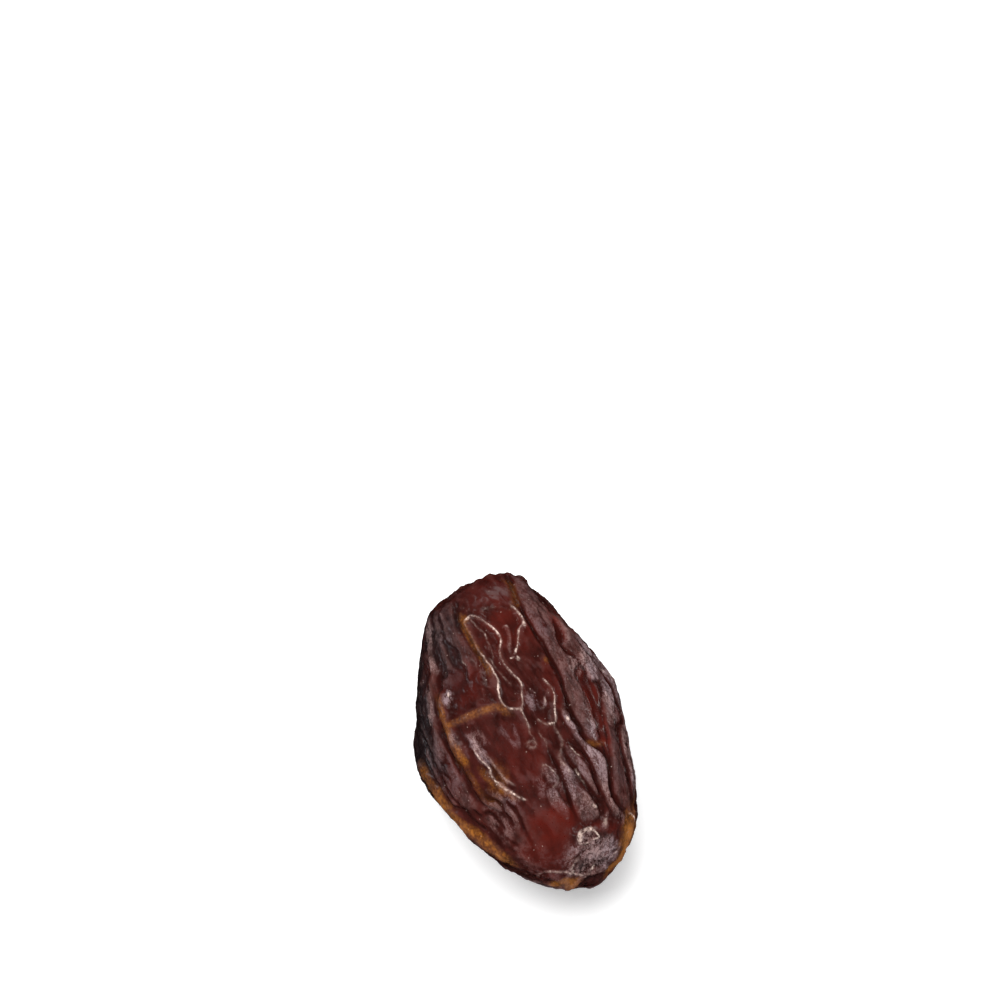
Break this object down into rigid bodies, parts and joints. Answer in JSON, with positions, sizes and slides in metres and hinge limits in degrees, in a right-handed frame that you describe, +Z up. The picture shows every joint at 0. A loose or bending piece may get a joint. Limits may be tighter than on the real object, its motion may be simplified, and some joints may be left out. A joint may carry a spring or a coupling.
{
  "type": "medjool date",
  "caption": "Whole dried medjool date lying on its side, with long folds, loose skin ridges, a stem scar and a small flat resting spot.",
  "frame": {"origin": "middle of the underside of the date's box, on the surface that the date rests on", "axes": "+X along the fruit towards its pointed end, +Y across it, +Z up from the surface"},
  "size_m": [0.0468, 0.0272, 0.0229],
  "materials": {
    "date_skin": "dark red-brown leathery skin, half glossy, with a grey bloom on its raised plates and amber along its seams"
  },
  "bodies": {
    "root": {"date_fruit": "date_skin"}
  },
  "joints": []
}
